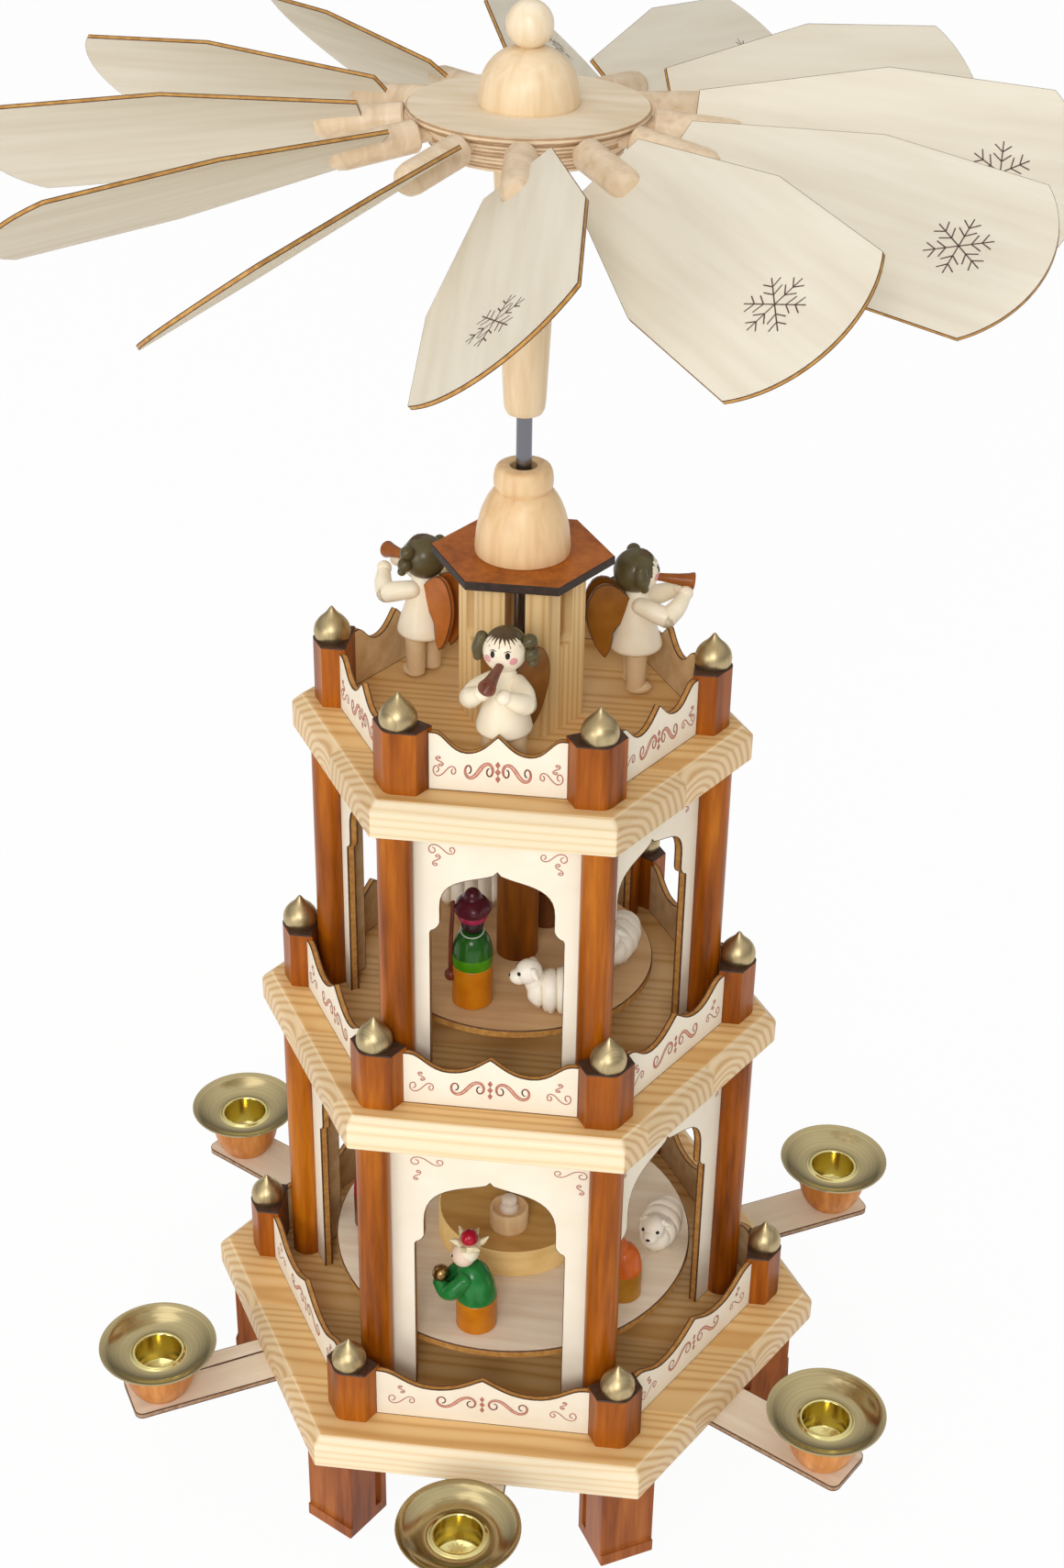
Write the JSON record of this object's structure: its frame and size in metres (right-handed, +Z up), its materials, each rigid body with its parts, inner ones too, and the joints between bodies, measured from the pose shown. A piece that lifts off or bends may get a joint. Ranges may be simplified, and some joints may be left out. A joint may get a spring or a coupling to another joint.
{
  "type": "christmas pyramid",
  "caption": "Storeyed wooden Christmas pyramid: hexagonal boards with arcades and balustrades, candle arms, turntables with figures on a shaft, and a fan of pitched vanes on top.",
  "frame": {"origin": "centre of the bounding box on the table, on the axis of the shaft", "axes": "+Z up along the shaft, -Y towards the front side of the hexagon, +X to its right"},
  "size_m": [0.3216, 0.3216, 0.5189],
  "materials": {
    "pine": "satin varnish",
    "stained_wood": "satin red-brown stain",
    "white_wood": "matt white",
    "plywood": "plain with scorched edges",
    "turned_wood": "satin varnish",
    "brass": "spun, satin",
    "steel": "drawn",
    "green_paint": "gloss paint",
    "orange_paint": "gloss paint",
    "crimson_paint": "gloss paint",
    "ivory_paint": "satin paint"
  },
  "bodies": {
    "stand": {"lower_board": "pine", "middle_board": "pine", "upper_board": "pine", "leg_1": "stained_wood", "leg_2": "stained_wood", "leg_3": "stained_wood", "leg_4": "stained_wood", "leg_5": "stained_wood", "leg_6": "stained_wood", "candle_arm_1": "plywood", "candle_arm_2": "plywood", "candle_arm_3": "plywood", "candle_arm_4": "plywood", "candle_arm_5": "plywood", "candle_arm_6": "plywood", "drip_pan_1": "brass", "drip_pan_2": "brass", "drip_pan_3": "brass", "drip_pan_4": "brass", "drip_pan_5": "brass", "drip_pan_6": "brass", "lower_arcade": "white_wood", "upper_arcade": "white_wood", "lower_balustrade": "stained_wood", "middle_balustrade": "stained_wood", "upper_balustrade": "stained_wood", "tower": "pine", "tower_roof": "stained_wood", "bell": "turned_wood", "angel_1": "ivory_paint", "angel_2": "ivory_paint", "angel_3": "ivory_paint"},
    "rotor": {"shaft": "steel", "lower_turntable": "plywood", "upper_turntable": "plywood", "upper_pillar": "stained_wood", "crib_plinth": "turned_wood", "fan_hub": "turned_wood", "fan_cap": "turned_wood", "lower_king": "green_paint", "shepherd": "orange_paint", "red_king": "crimson_paint", "lower_sheep": "ivory_paint", "upper_king": "green_paint", "upper_guest": "crimson_paint", "upper_sheep_1": "ivory_paint", "upper_sheep_2": "ivory_paint", "upper_sheep_3": "ivory_paint"},
    "fan_blade_01": {"vane_01": "plywood"},
    "fan_blade_02": {"vane_02": "plywood"},
    "fan_blade_03": {"vane_03": "plywood"},
    "fan_blade_04": {"vane_04": "plywood"},
    "fan_blade_05": {"vane_05": "plywood"},
    "fan_blade_06": {"vane_06": "plywood"},
    "fan_blade_07": {"vane_07": "plywood"},
    "fan_blade_08": {"vane_08": "plywood"},
    "fan_blade_09": {"vane_09": "plywood"},
    "fan_blade_10": {"vane_10": "plywood"},
    "fan_blade_11": {"vane_11": "plywood"},
    "fan_blade_12": {"vane_12": "plywood"}
  },
  "joints": [
    {"name": "rotor_spin", "type": "hinge", "parent": "stand", "child": "rotor", "pos_m": [0, 0, 0.0503], "axis": [0, 0, 1], "continuous": true},
    {"name": "vane_pitch_01", "type": "hinge", "parent": "rotor", "child": "fan_blade_01", "pos_m": [0, 0, 0.4884], "axis": [-0.4358, -0.8934, -0.109], "range_deg": [-21, 39]},
    {"name": "vane_pitch_02", "type": "hinge", "parent": "rotor", "child": "fan_blade_02", "pos_m": [0, 0, 0.4884], "axis": [0.0693, -0.9916, -0.109], "range_deg": [-25, 35]},
    {"name": "vane_pitch_03", "type": "hinge", "parent": "rotor", "child": "fan_blade_03", "pos_m": [0, 0, 0.4884], "axis": [0.5559, -0.8241, -0.109], "range_deg": [-24, 36]},
    {"name": "vane_pitch_04", "type": "hinge", "parent": "rotor", "child": "fan_blade_04", "pos_m": [0, 0, 0.4884], "axis": [0.8934, -0.4358, -0.109], "range_deg": [-20, 40]},
    {"name": "vane_pitch_05", "type": "hinge", "parent": "rotor", "child": "fan_blade_05", "pos_m": [0, 0, 0.4884], "axis": [0.9916, 0.0693, -0.109], "range_deg": [-40, 20]},
    {"name": "vane_pitch_06", "type": "hinge", "parent": "rotor", "child": "fan_blade_06", "pos_m": [0, 0, 0.4884], "axis": [0.8241, 0.5559, -0.109], "range_deg": [-39, 21]},
    {"name": "vane_pitch_07", "type": "hinge", "parent": "rotor", "child": "fan_blade_07", "pos_m": [0, 0, 0.4884], "axis": [0.4358, 0.8934, -0.109], "range_deg": [-24, 36]},
    {"name": "vane_pitch_08", "type": "hinge", "parent": "rotor", "child": "fan_blade_08", "pos_m": [0, 0, 0.4884], "axis": [-0.0693, 0.9916, -0.109], "range_deg": [-26, 34]},
    {"name": "vane_pitch_09", "type": "hinge", "parent": "rotor", "child": "fan_blade_09", "pos_m": [0, 0, 0.4884], "axis": [-0.5559, 0.8241, -0.109], "range_deg": [-27, 33]},
    {"name": "vane_pitch_10", "type": "hinge", "parent": "rotor", "child": "fan_blade_10", "pos_m": [0, 0, 0.4884], "axis": [-0.8934, 0.4358, -0.109], "range_deg": [-29, 31]},
    {"name": "vane_pitch_11", "type": "hinge", "parent": "rotor", "child": "fan_blade_11", "pos_m": [0, 0, 0.4884], "axis": [-0.9916, -0.0693, -0.109], "range_deg": [-26, 34]},
    {"name": "vane_pitch_12", "type": "hinge", "parent": "rotor", "child": "fan_blade_12", "pos_m": [0, 0, 0.4884], "axis": [-0.8241, -0.5559, -0.109], "range_deg": [-18, 42]}
  ]
}
